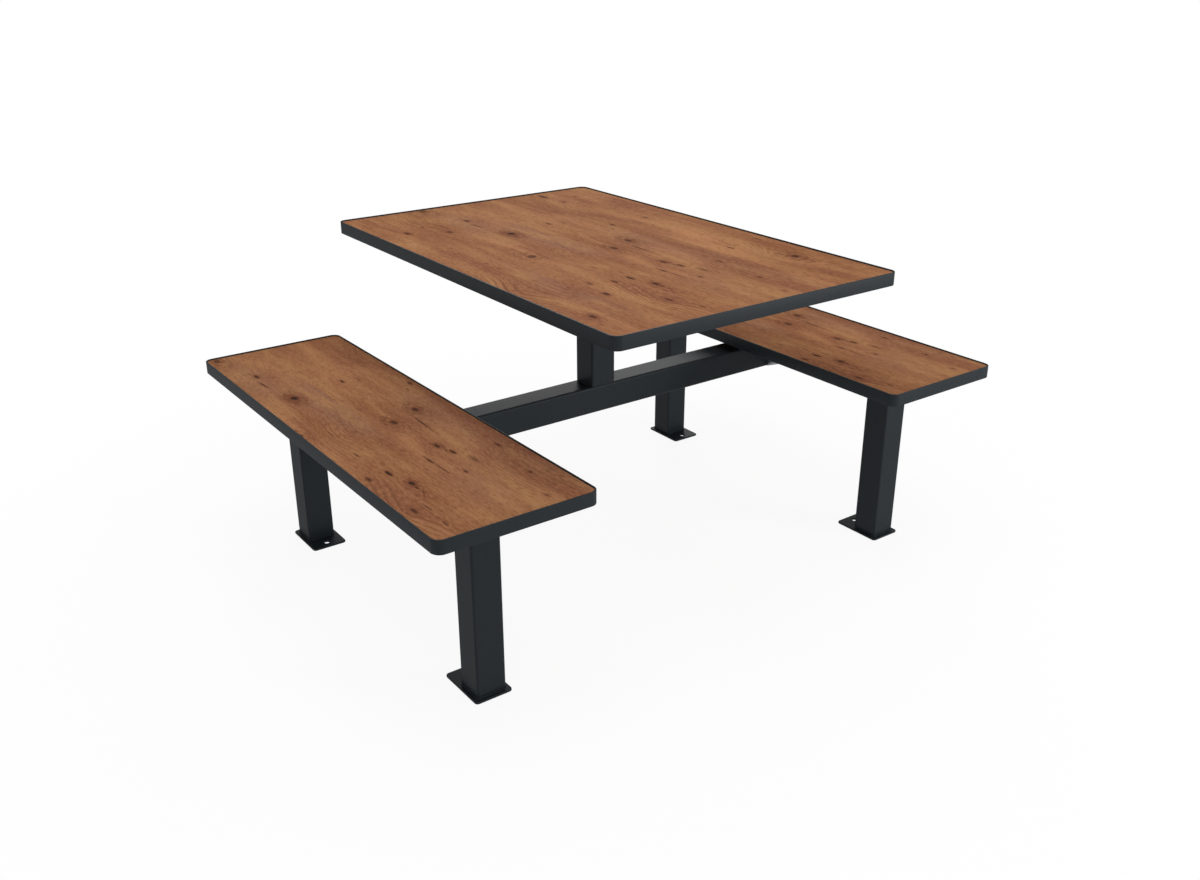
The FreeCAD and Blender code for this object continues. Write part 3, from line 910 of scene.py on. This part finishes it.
@dataclass
class Board:
    """A laminated board: oak sheet on top, edge band round it, chipboard core and backing below."""

    name: str
    palette: Palette
    band_recipe: NodeRecipe
    corner_radius: float = 20 * MM
    band_rounding: float = 0.8 * MM
    step_across: float = 2 * MM  # of the sheet's mesh, which carries the print
    step_along: float = 5 * MM
    corner_rows: int = 8

    def build(self) -> None:
        """Builds the sheet and the band, and dresses the pieces below."""
        self.build_band()
        self.build_sheet()
        dress(f"{self.name}_core", self.palette[Slot.CHIPBOARD])
        dress(f"{self.name}_backer", self.palette[Slot.BACKING])

    def build_band(self) -> None:
        """Runs the edge band round the board."""
        node = f"{self.name}_edge_band"
        size, middle = size_and_middle(node)
        inner, _ = size_and_middle(f"{self.name}_laminate")
        mesh = self.band_recipe.run({
            "Board width": size.x,
            "Board length": size.y,
            "Band height": size.z,
            "Band thickness": (size.x - inner.x) / 2,
            "Corner radius": self.corner_radius,
            "Edge rounding": self.band_rounding,
        })
        mesh.transform(Matrix.Translation(middle))
        new_piece(f"{self.name}_lipping", mesh, self.palette, Slot.EDGE_BAND, node)

    def build_sheet(self) -> None:
        """Lays the oak sheet as a fine grid, so that it can carry the print's fields."""
        node = f"{self.name}_laminate"
        size, middle = size_and_middle(node)
        band, _ = size_and_middle(f"{self.name}_edge_band")
        radius = self.corner_radius - (band.x - size.x) / 2
        straight = size.y / 2 - radius
        turns = QUARTER_TURN * np.arange(1, self.corner_rows + 1) / self.corner_rows
        rear_rows = straight + radius * np.sin(turns)
        middle_rows = np.linspace(-straight, straight, round(2 * straight / self.step_along) + 1)
        rows = np.concatenate([-rear_rows[::-1], middle_rows, rear_rows])
        columns = np.linspace(-1, 1, round(size.x / self.step_across) + 1)
        past = np.maximum(np.abs(rows) - straight, 0)
        reach = size.x / 2 - radius + np.sqrt(np.maximum(radius ** 2 - past ** 2, 0))
        across = np.outer(reach, columns).ravel()
        along = np.repeat(rows, len(columns))
        grid = np.arange(across.size).reshape(len(rows), len(columns))
        rim = [*grid[0], *grid[1:, -1], *grid[-1, -2::-1], *grid[-2:0:-1, 0]]
        mesh = self.slab_mesh(grid, rim, across, along, size.z)
        for print_field, values in OakPrint().fields(across / MM, along / MM).items():
            layer = mesh.attributes.new(print_field.value, "FLOAT", "POINT")
            layer.data.foreach_set("value", np.concatenate([values, values[rim]]).astype(np.float32))
        mesh.transform(Matrix.Translation(middle))
        new_piece(f"{self.name}_oak_sheet", mesh, self.palette, Slot.OAK, node)

    @staticmethod
    def slab_mesh(
        grid: np.ndarray, rim: Sequence[int], across: np.ndarray, along: np.ndarray, thickness: float
    ) -> Mesh:
        """Makes a closed thin slab, with a grid above and one plain face below.

        Args:
            grid: The points' numbers, row by row.
            rim: The numbers of the points on the grid's rim, once round it.
            across: Each point's place across the sheet.
            along: Each point's place along the sheet.
            thickness: The slab's thickness.

        Returns:
            The mesh, with the points of the grid first and those of the lower rim after them.
        """
        points = [(x, y, thickness / 2) for x, y in zip(across, along)]
        points += [(across[number], along[number], -thickness / 2) for number in rim]
        corners = (grid[:-1, :-1], grid[:-1, 1:], grid[1:, 1:], grid[1:, :-1])
        faces = np.stack(corners, axis=-1).reshape(-1, len(corners)).tolist()
        lower_rim = range(grid.size, grid.size + len(rim))
        for number, corner in enumerate(rim):
            following = (number + 1) % len(rim)
            faces.append((rim[following], corner, lower_rim[number], lower_rim[following]))
        faces.append(lower_rim[::-1])
        mesh = bpy.data.meshes.new("slab")
        mesh.from_pydata(points, [], faces)
        return mesh


def ring_mesh(name: str, rings: Rings, sides: int, hollow: bool = False) -> Mesh:
    """Makes a turned shape from rings about the Z axis.

    Args:
        name: The mesh's name.
        rings: The rings in order.
        sides: How many points a ring has.
        hollow: Whether the last ring joins the first, as in a washer, or both ends are closed.

    Returns:
        The closed mesh with its faces outwards.
    """
    shape = bmesh.new()
    loops = []
    for radius, height in rings:
        loop = []
        for number in range(sides):
            angle = math.tau * number / sides
            reach = radius(angle) if callable(radius) else radius
            loop.append(shape.verts.new((reach * math.cos(angle), reach * math.sin(angle), height)))
        loops.append(loop)
    if hollow:
        loops.append(loops[0])
    else:
        shape.faces.new(loops[0])
        shape.faces.new(loops[-1])
    join_loops(shape, loops)
    return close_shape(shape, name)


def fastener_recipe(material: Material, seed: int = 7) -> NodeRecipe:
    """Makes the tree that sets one fastener out on points, each turned by chance about its axis.

    Args:
        material: The fastener's finish.
        seed: Of the turns.

    Returns:
        The recipe, with the fastener and its turn as inputs.
    """
    recipe = NodeRecipe(f"fasteners_in_{material.name}")
    fastener = recipe.ask("Fastener", "NodeSocketObject")
    turn = recipe.ask("Turn", "NodeSocketVector")
    shape = recipe.add("GeometryNodeObjectInfo", {"Object": fastener}, "Geometry")
    inputs = {"Min": (0.0, 0.0, 0.0), "Max": (0.0, 0.0, math.tau), "Seed": seed}
    chance = recipe.add("FunctionNodeRandomValue", inputs, data_type="FLOAT_VECTOR")
    spin = recipe.add("FunctionNodeEulerToRotation", {0: chance})
    lay = recipe.add("FunctionNodeEulerToRotation", {0: turn})
    inputs = {"Rotation": lay, "Rotate By": spin}
    both = recipe.add("FunctionNodeRotateRotation", inputs, rotation_space="LOCAL")
    inputs = {"Points": recipe.group_input.outputs["Geometry"], "Instance": shape, "Rotation": both}
    recipe.finish(recipe.add("GeometryNodeInstanceOnPoints", inputs), material)
    return recipe


@dataclass
class Fasteners:
    """Wood screws under the boards, and the bolts, washers and nuts of the beam's end plates."""

    palette: Palette
    sides: int = 24
    screw_head: float = 0.74  # height of a screw's head, as a share of its radius
    screw_shank: float = 0.53  # radius of its shank, as a share of the same
    screw_tip: float = 4 * MM
    tip_radius: float = 0.1 * MM
    head_rounding: float = 1.5 * MM
    head_steps: int = 3
    recess_radius: float = 2.3 * MM
    recess_lobe: float = 0.45 * MM
    recess_lobes: int = 6
    recess_depth: float = 1.6 * MM
    bolt_radius: float = 5 * MM
    bolt_head: float = 6.4 * MM
    threads: int = 14
    thread_pitch: float = 1.5 * MM
    thread_depth: float = 0.5 * MM
    chamfer: float = 0.9 * MM
    chamfer_circle: float = 0.47  # radius of a hexagon's chamfered end, as a share of its width across flats
    washer_edge: float = 0.3 * MM
    washer_hole: float = 1.1  # radius of a washer's hole, as a share of the bolt's

    def build(self) -> None:
        """Builds every group of fasteners."""
        recipe = fastener_recipe(self.palette[Slot.ZINC_FASTENER])
        for board in BOARDS:
            self.build_screws(recipe, f"{board}_screws")
        self.build_bolt_sets(recipe)

    @staticmethod
    def set_out(recipe: NodeRecipe, mesh: Mesh, points: Sequence[Vector], turn: Sequence[float]) -> Mesh:
        """Copies a fastener to its places.

        Args:
            recipe: The tree that copies it.
            mesh: One fastener on the Z axis.
            points: Where its origin goes.
            turn: The turn from the Z axis to its own, as Euler angles.

        Returns:
            One mesh with all the copies.
        """
        pattern = bpy.data.objects.new("pattern", mesh)
        bpy.context.scene.collection.objects.link(pattern)
        copies = recipe.run({"Fastener": pattern, "Turn": turn}, points)
        bpy.data.objects.remove(pattern)
        bpy.data.meshes.remove(mesh)
        return copies

    def recess(self, angle: float) -> float:
        """Gives the radius of a screw head's lobed recess at an angle."""
        return self.recess_radius + self.recess_lobe * math.cos(self.recess_lobes * angle)

    def screw_rings(self, head_radius: float, head_height: float, length: float) -> Rings:
        """Gives the turned shape of a pan-head wood screw that points up, with a lobed recess in its head.

        Args:
            head_radius: Of the head's rim.
            head_height: From the face that the head sits on down to its top.
            length: From the head's seat to the tip.

        Returns:
            The rings, with the head's seat at 0.
        """
        rings = [(self.recess, self.recess_depth - head_height), (self.recess, -head_height)]
        for number in range(self.head_steps + 1):
            angle = QUARTER_TURN * number / self.head_steps
            radius = head_radius - self.head_rounding * (1 - math.sin(angle))
            rings.append((radius, -head_height + self.head_rounding * (1 - math.cos(angle))))
        shank_radius = self.screw_shank * head_radius
        rings += [(head_radius, 0.0), (shank_radius, 0.0), (shank_radius, length - self.screw_tip)]
        rings.append((self.tip_radius, length))
        return rings

    def build_screws(self, recipe: NodeRecipe, node: str) -> None:
        """Builds one group of wood screws.

        Args:
            recipe: The tree that copies a fastener.
            node: The CAD node with the screws.
        """
        boxes = solid_boxes(node)
        size = boxes[0][1] - boxes[0][0]
        head_radius = size.x / 2
        head_height = self.screw_head * head_radius
        rings = self.screw_rings(head_radius, head_height, size.z - head_height)
        points = []
        for low, high in boxes:
            points.append(Vector(((low.x + high.x) / 2, (low.y + high.y) / 2, low.z + head_height)))
        copies = self.set_out(recipe, ring_mesh("screw", rings, self.sides), points, (0.0, 0.0, 0.0))
        new_piece(f"{node}_recessed", copies, self.palette, Slot.ZINC_FASTENER, node)

    @staticmethod
    def hexagon(across_flats: float) -> Callable[[float], float]:
        """Gives the radius of a hexagon as a function of the angle from a corner."""
        return lambda angle: across_flats / 2 / math.cos((angle % (math.pi / 3)) - math.pi / 6)

    def bolt_rings(self, length: float, across_flats: float) -> Rings:
        """Gives the turned shape of a bolt with its thread cut at the end.

        Args:
            length: With the head.
            across_flats: The head's width.

        Returns:
            The rings, with the head's seat at 0.
        """
        hexagon = self.hexagon(across_flats)
        shank_end = length - self.bolt_head
        top = -self.bolt_head
        rings = [(self.chamfer_circle * across_flats, top), (hexagon, top + self.chamfer)]
        rings += [(hexagon, 0.0), (self.bolt_radius, 0.0)]
        for number in range(self.threads):
            base = shank_end - self.chamfer - (self.threads - number) * self.thread_pitch
            rings.append((self.bolt_radius, base))
            rings.append((self.bolt_radius - self.thread_depth, base + self.thread_pitch / 2))
        rings += [(self.bolt_radius, shank_end - self.chamfer), (self.bolt_radius - self.chamfer, shank_end)]
        return rings

    def nut_rings(self, height: float, across_flats: float) -> Rings:
        """Gives the turned shape of a nut.

        Args:
            height: The nut's height.
            across_flats: Its width.

        Returns:
            The rings, out and back through the bore.
        """
        hexagon = self.hexagon(across_flats)
        circle = self.chamfer_circle * across_flats
        rings = [(circle, 0.0), (hexagon, self.chamfer), (hexagon, height - self.chamfer), (circle, height)]
        return rings + [(self.bolt_radius, height), (self.bolt_radius, 0.0)]

    def washer_rings(self, height: float, radius: float) -> Rings:
        """Gives the turned shape of a washer with softened edges.

        Args:
            height: The washer's thickness.
            radius: Its outer radius.

        Returns:
            The rings, out and back through the hole.
        """
        edge = self.washer_edge
        hole = self.washer_hole * self.bolt_radius
        rings = [(radius - edge, 0.0), (radius, edge), (radius, height - edge), (radius - edge, height)]
        return rings + [(hole, height), (hole, 0.0)]

    def build_bolt_sets(self, recipe: NodeRecipe) -> None:
        """Builds the bolts, nuts and washers of both end plates.

        Args:
            recipe: The tree that copies a fastener.
        """
        boxes = {node: solid_boxes(node) for node in ("beam_bolts", "beam_nuts", "beam_washers")}
        bolt, nut, washer = (found[0][1] - found[0][0] for found in boxes.values())
        across_flats = min(nut.y, nut.z)
        sets = {
            "beam_bolts": (self.bolt_rings(bolt.x, across_flats), False, self.bolt_head),
            "beam_nuts": (self.nut_rings(nut.x, across_flats), True, 0.0),
            "beam_washers": (self.washer_rings(washer.x, washer.y / 2), True, 0.0),
        }
        for node, (rings, hollow, seat) in sets.items():
            shape = bmesh.new()
            for sign in SIDES.values():
                points = []
                for low, high in boxes[node]:
                    if sign * (low.x + high.x) > 0:
                        place = (low + high) / 2
                        place.x = (low.x if sign > 0 else high.x) + sign * seat
                        points.append(place)
                turn = (0.0, sign * QUARTER_TURN, 0.0)
                half = self.set_out(recipe, ring_mesh(node, rings, self.sides, hollow), points, turn)
                shape.from_mesh(half)
                bpy.data.meshes.remove(half)
            mesh = close_shape(shape, node)
            new_piece(f"{node}_turned", mesh, self.palette, Slot.ZINC_FASTENER, node)


def weld_recipe(
    material: Material, corner_points: int = 6, bead_sides: int = 10, steps_per_ripple: int = 4
) -> NodeRecipe:
    """Makes the tree that lays a rippled weld bead round a tube.

    Args:
        material: The finish over the bead.
        corner_points: Points on each round corner of the tube.
        bead_sides: Sides of the bead's section.
        steps_per_ripple: Points along the bead in each ripple.

    Returns:
        The recipe, with the tube's and the bead's sizes as inputs.
    """
    recipe = NodeRecipe("weld_bead_round_tube")
    width = recipe.ask("Tube width")
    depth = recipe.ask("Tube depth")
    corner = recipe.ask("Corner radius")
    bead = recipe.ask("Bead radius")
    pitch = recipe.ask("Ripple pitch")
    ripple = recipe.ask("Ripple")
    outline = recipe.add("GeometryNodeCurvePrimitiveQuadrilateral", {"Width": width, "Height": depth})
    inputs = {"Curve": outline, "Radius": corner, "Count": corner_points}
    path = recipe.add("GeometryNodeFilletCurve", inputs, mode="POLY")
    step = recipe.add("ShaderNodeMath", {0: pitch, 1: steps_per_ripple}, operation="DIVIDE")
    points = recipe.add("GeometryNodeResampleCurve", {"Curve": path, "Length": step}, mode="LENGTH")
    run = recipe.add("GeometryNodeSplineParameter", take="Length")
    turns = recipe.add("ShaderNodeMath", {0: run, 1: pitch}, operation="DIVIDE")
    angle = recipe.add("ShaderNodeMath", {0: turns, 1: math.tau}, operation="MULTIPLY")
    wave = recipe.add("ShaderNodeMath", {0: angle}, operation="SINE")
    swell = recipe.add("ShaderNodeMath", {0: wave, 1: ripple, 2: 1.0}, operation="MULTIPLY_ADD")
    circle = recipe.add("GeometryNodeCurvePrimitiveCircle", {"Resolution": bead_sides, "Radius": bead})
    inputs = {"Curve": points, "Profile Curve": circle, "Scale": swell}
    recipe.finish(recipe.add("GeometryNodeCurveToMesh", inputs), material)
    return recipe


@dataclass
class SteelFrame:
    """The welded steel frame: legs, foot plates, seat rails, beam, post and the bearers under the boards."""

    palette: Palette
    plate_corner: float = 8 * MM
    plate_edge: float = 0.8 * MM
    corner_steps: int = 8
    hole_sides: int = 40
    tube_corner: float = 5 * MM
    bead: float = 1.6 * MM
    ripple_pitch: float = 2.6 * MM
    ripple: float = 0.14

    def build(self) -> None:
        """Dresses the tubes and bars, and builds the foot plates and the welds."""
        self.dress_steel()
        for side in SIDES:
            for end in ENDS:
                self.build_foot_plate(f"{side}_{end}_foot_plate")
        self.build_welds()

    def dress_steel(self) -> None:
        """Gives every steel node that stays its finish."""
        painted = ["cross_beam", "table_post", "post_plate", "front_cross_bearer", "rear_cross_bearer"]
        for side in SIDES:
            painted += [f"{side}_table_bearer", f"{side}_seat_rail"]
            painted += [f"{side}_{end}_leg" for end in ENDS]
            painted += [f"{side}_{place}_seat_bearer" for place in ("front", "middle", "rear")]
            dress(f"{side}_beam_end_plate", self.palette[Slot.ZINC_PLATE])
        for node in painted:
            dress(node, self.palette[Slot.PAINT])
        dress("bearer_end_caps", self.palette[Slot.CAP])

    def plate_outline(self, node: str, inset: float) -> Outline:
        """Gives the outline of a foot plate.

        Args:
            node: The plate's CAD node.
            inset: How far inside the plate's rim the outline runs.

        Returns:
            Points round the plate's middle, anticlockwise.
        """
        size, _ = size_and_middle(node)
        radius = self.plate_corner
        points = []
        for quarter, (side_x, side_y) in enumerate(((1, 1), (-1, 1), (-1, -1), (1, -1))):
            for number in range(self.corner_steps + 1):
                angle = QUARTER_TURN * (quarter + number / self.corner_steps)
                x = side_x * (size.x / 2 - radius) + (radius - inset) * math.cos(angle)
                y = side_y * (size.y / 2 - radius) + (radius - inset) * math.sin(angle)
                points.append((x, y))
        return points

    def hole_outline(self, node: str, outset: float) -> Outline:
        """Gives the outline of the anchor hole in a foot plate, which the record's bolt pattern places.

        Args:
            node: The plate's CAD node.
            outset: How far outside the hole's wall the outline runs.

        Returns:
            Points round the hole, from the plate's middle.
        """
        mounts = {mount["name"]: mount for mount in frame["record"]["mounts"]}
        pattern = mounts["floor_anchors"]["dims"]
        _, middle = size_and_middle(node)
        centre_x = math.copysign(pattern["spacing_x_mm"] / 2 * MM, middle.x) - middle.x
        centre_y = math.copysign(pattern["spacing_y_mm"] / 2 * MM, middle.y) - middle.y
        radius = pattern["hole_r_mm"] * MM + outset
        points = []
        for number in range(self.hole_sides):
            angle = math.tau * number / self.hole_sides
            points.append((centre_x + radius * math.cos(angle), centre_y + radius * math.sin(angle)))
        return points

    def build_foot_plate(self, node: str) -> None:
        """Builds a foot plate with softened edges and its anchor hole.

        Args:
            node: The plate's CAD node.
        """
        size, middle = size_and_middle(node)
        # Heights above the underside, and whether the outline draws back there
        levels = ((0.0, 1), (self.plate_edge, 0), (size.z - self.plate_edge, 0), (size.z, 1))
        shape = bmesh.new()
        walls = []
        for outline in (self.plate_outline, self.hole_outline):
            loops = []
            for level, softened in levels:
                points = outline(node, softened * self.plate_edge)
                loops.append([shape.verts.new((x, y, level - size.z / 2)) for x, y in points])
            join_loops(shape, loops)
            walls.append(loops)
        for face in (0, -1):
            rims = []
            for loops in walls:
                rim = loops[face]
                rims += [shape.edges.get((rim[number - 1], rim[number])) for number in range(len(rim))]
            bmesh.ops.triangle_fill(shape, use_beauty=True, edges=rims)
        mesh = close_shape(shape, node)
        mesh.transform(Matrix.Translation(middle))
        new_piece(f"{node}_softened", mesh, self.palette, Slot.PAINT, node)

    def build_welds(self) -> None:
        """Lays the beads round the legs' feet and the seat rails' ends, and on two sides of the post's ends.

        The post's front and rear are flush with the beam, so its seams run inside there.
        """
        recipe = weld_recipe(self.palette[Slot.PAINT])
        for side in SIDES:
            rail_size, rail_middle = size_and_middle(f"{side}_seat_rail")
            for end, sign in ENDS.items():
                size, middle = size_and_middle(f"{side}_{end}_leg")
                foot = Vector((middle.x, middle.y, middle.z - size.z / 2))
                self.lay_weld(recipe, f"{side}_{end}_foot_weld", size.x, size.y, foot, Axis.Z)
                rail_end = Vector((rail_middle.x, sign * rail_size.y / 2, rail_middle.z))
                self.lay_weld(recipe, f"{side}_{end}_rail_weld", rail_size.x, rail_size.z, rail_end, Axis.Y)
        size, middle = size_and_middle("table_post")
        inside = size.y - 2 * self.tube_corner
        for name, level in (("post_foot_weld", -size.z / 2), ("post_head_weld", size.z / 2)):
            place = Vector((middle.x, middle.y, middle.z + level))
            self.lay_weld(recipe, name, size.x, inside, place, Axis.Z)

    def lay_weld(
        self, recipe: NodeRecipe, name: str, width: float, depth: float, place: Vector, axis: Axis
    ) -> None:
        """Lays one weld bead.

        Args:
            recipe: The tree that makes a bead.
            name: The piece's name.
            width: The tube's width.
            depth: The tube's other side.
            place: The middle of the joint.
            axis: The direction that the tube runs in.
        """
        mesh = recipe.run({
            "Tube width": width,
            "Tube depth": depth,
            "Corner radius": self.tube_corner,
            "Bead radius": self.bead,
            "Ripple pitch": self.ripple_pitch,
            "Ripple": self.ripple,
        })
        mesh.transform(Matrix.Translation(place) @ axis.value)
        new_piece(name, mesh, self.palette, Slot.PAINT)


@dataclass(frozen=True)
class Lamp:
    """A square soft box that points at the middle of the object."""

    name: str
    place: tuple[float, float, float]
    size: float
    power: float


@dataclass
class Studio:
    """White floor and surroundings, soft boxes and the camera."""

    floor_half: float = 20.0
    floor_level: float = -0.1 * MM  # a hair below the foot plates, whose undersides lie at 0
    floor_colour: str = "#f4f4f4"
    floor_glow: float = 0.92  # share of plain white that the camera sees under the shadow
    shadow_near: float = 0.8  # metres from the middle, from where the shadow fades
    shadow_far: float = 2.0
    front_level: float = 0.32  # of the surroundings behind the camera, as reflections show them
    back_level: float = 1.0
    back_direction: tuple[float, float, float] = (0.35, 0.85, 0.4)
    front_ends: float = -0.5  # cosines of the angle from that direction, between which the level rises
    back_begins: float = 0.7
    light_level: float = 0.38  # of the surroundings as they light the object
    aim: tuple[float, float, float] = (0.0, 0.0, 0.45)
    lamps: tuple[Lamp, ...] = (
        Lamp("overhead", (-0.35, -0.4, 3.5), 3.2, 70.0),
        Lamp("right_front", (2.0, -2.8, 0.9), 1.0, 45.0),
        Lamp("right_rear", (2.3, 3.4, 1.9), 1.6, 40.0),
    )
    camera_place: tuple[float, float, float] = (-1.5596, -2.1449, 1.3982)
    camera_turn: tuple[float, float, float] = (66.722, 0.0, -36.258)  # degrees
    lens: float = 34.97  # millimetres
    sensor: float = 36.0

    def build(self) -> None:
        """Sets the stage."""
        bpy.context.scene.view_settings.view_transform = "Standard"
        self.build_world()
        self.build_floor()
        for lamp in self.lamps:
            self.build_lamp(lamp)
        self.build_camera()

    @staticmethod
    def seen_directly(tree: Tree) -> Socket:
        """Tells the rays that see the surroundings, straight or in a reflection, from those that only light.

        Args:
            tree: The node tree of the world or the floor.

        Returns:
            1 for a ray that sees.
        """
        seen = add_node(tree, "ShaderNodeLightPath", take="Is Camera Ray")
        rays = seen.node.outputs
        for ray in ("Is Glossy Ray", "Is Transmission Ray"):
            seen = add_node(tree, "ShaderNodeMath", {0: seen, 1: rays[ray]}, operation="MAXIMUM")
        return seen

    def build_world(self) -> None:
        """Makes white surroundings that fall off to grey behind the camera in reflections."""
        world = bpy.data.worlds.new("white_studio")
        world.use_nodes = True
        tree = world.node_tree
        tree.nodes.clear()
        direction = add_node(tree, "ShaderNodeTexCoord", take="Generated")
        back = tuple(Vector(self.back_direction).normalized())
        inputs = {0: direction, 1: back}
        facing = add_node(tree, "ShaderNodeVectorMath", inputs, "Value", operation="DOT_PRODUCT")
        inputs = {"Value": facing, "From Min": self.front_ends, "From Max": self.back_begins}
        levels = {"To Min": self.front_level, "To Max": self.back_level}
        reflected = add_node(tree, "ShaderNodeMapRange", {**inputs, **levels})
        straight = add_node(tree, "ShaderNodeLightPath", take="Is Camera Ray")
        seen = add_node(tree, "ShaderNodeMath", {0: straight, 1: reflected}, operation="MAXIMUM")
        inputs = {MIX_FACTOR: self.seen_directly(tree), MIX_NUMBER_A: self.light_level, MIX_NUMBER_B: seen}
        strength = add_node(tree, "ShaderNodeMix", inputs, data_type="FLOAT")
        background = add_node(tree, "ShaderNodeBackground", {"Color": WHITE, "Strength": strength})
        add_node(tree, "ShaderNodeOutputWorld", {"Surface": background})
        bpy.context.scene.world = world

    def build_floor(self) -> None:
        """Lays the pale floor, which looks white and keeps the object's soft shadow."""
        mesh = bpy.data.meshes.new("floor")
        reach = self.floor_half
        corners = [(-reach, -reach), (reach, -reach), (reach, reach), (-reach, reach)]
        mesh.from_pydata([(x, y, self.floor_level) for x, y in corners], [], [(0, 1, 2, 3)])
        material, tree = new_material("matt_white_floor")
        matt = add_node(tree, "ShaderNodeBsdfDiffuse", {"Color": linear(self.floor_colour)})
        glow = add_node(tree, "ShaderNodeEmission", {"Color": WHITE, "Strength": 1.0})
        place = add_node(tree, "ShaderNodeTexCoord", take="Object")
        distance = add_node(tree, "ShaderNodeVectorMath", {0: place}, "Value", operation="LENGTH")
        inputs = {"Value": distance, "From Min": self.shadow_near, "From Max": self.shadow_far}
        inputs["To Min"] = self.floor_glow
        white = add_node(tree, "ShaderNodeMapRange", inputs, interpolation_type="SMOOTHSTEP")
        inputs = {0: self.seen_directly(tree), 1: white}
        share = add_node(tree, "ShaderNodeMath", inputs, operation="MULTIPLY")
        mixed = add_node(tree, "ShaderNodeMixShader", {0: share, 1: matt, 2: glow})
        add_node(tree, "ShaderNodeOutputMaterial", {"Surface": mixed})
        mesh.materials.append(material)
        floor = bpy.data.objects.new("floor", mesh)
        bpy.context.scene.collection.objects.link(floor)

    def build_lamp(self, lamp: Lamp) -> None:
        """Hangs one soft box.

        Args:
            lamp: The soft box.
        """
        light = bpy.data.lights.new(lamp.name, "AREA")
        light.size = lamp.size
        light.energy = lamp.power
        holder = bpy.data.objects.new(lamp.name, light)
        holder.location = lamp.place
        towards = Vector(self.aim) - Vector(lamp.place)
        holder.rotation_euler = towards.to_track_quat("-Z", "Y").to_euler()
        bpy.context.scene.collection.objects.link(holder)

    def build_camera(self) -> None:
        """Puts the camera where the photograph was taken from."""
        camera = bpy.data.cameras.new("camera")
        camera.lens = self.lens
        camera.sensor_width = self.sensor
        holder = bpy.data.objects.new("camera", camera)
        holder.location = self.camera_place
        holder.rotation_euler = [math.radians(angle) for angle in self.camera_turn]
        bpy.context.scene.collection.objects.link(holder)
        bpy.context.scene.camera = holder


def main() -> None:
    """Builds the boards, the frame, the fasteners and the studio in order."""
    logging.basicConfig(level=logging.INFO, format="%(message)s")
    palette = {slot: finish.material() for slot, finish in FINISHES.items()}
    band_recipe = edge_band_recipe(palette[Slot.EDGE_BAND])
    for name in BOARDS:
        Board(name, palette, band_recipe).build()
    SteelFrame(palette).build()
    Fasteners(palette).build()
    Studio().build()


if __name__ == "__main__":
    main()
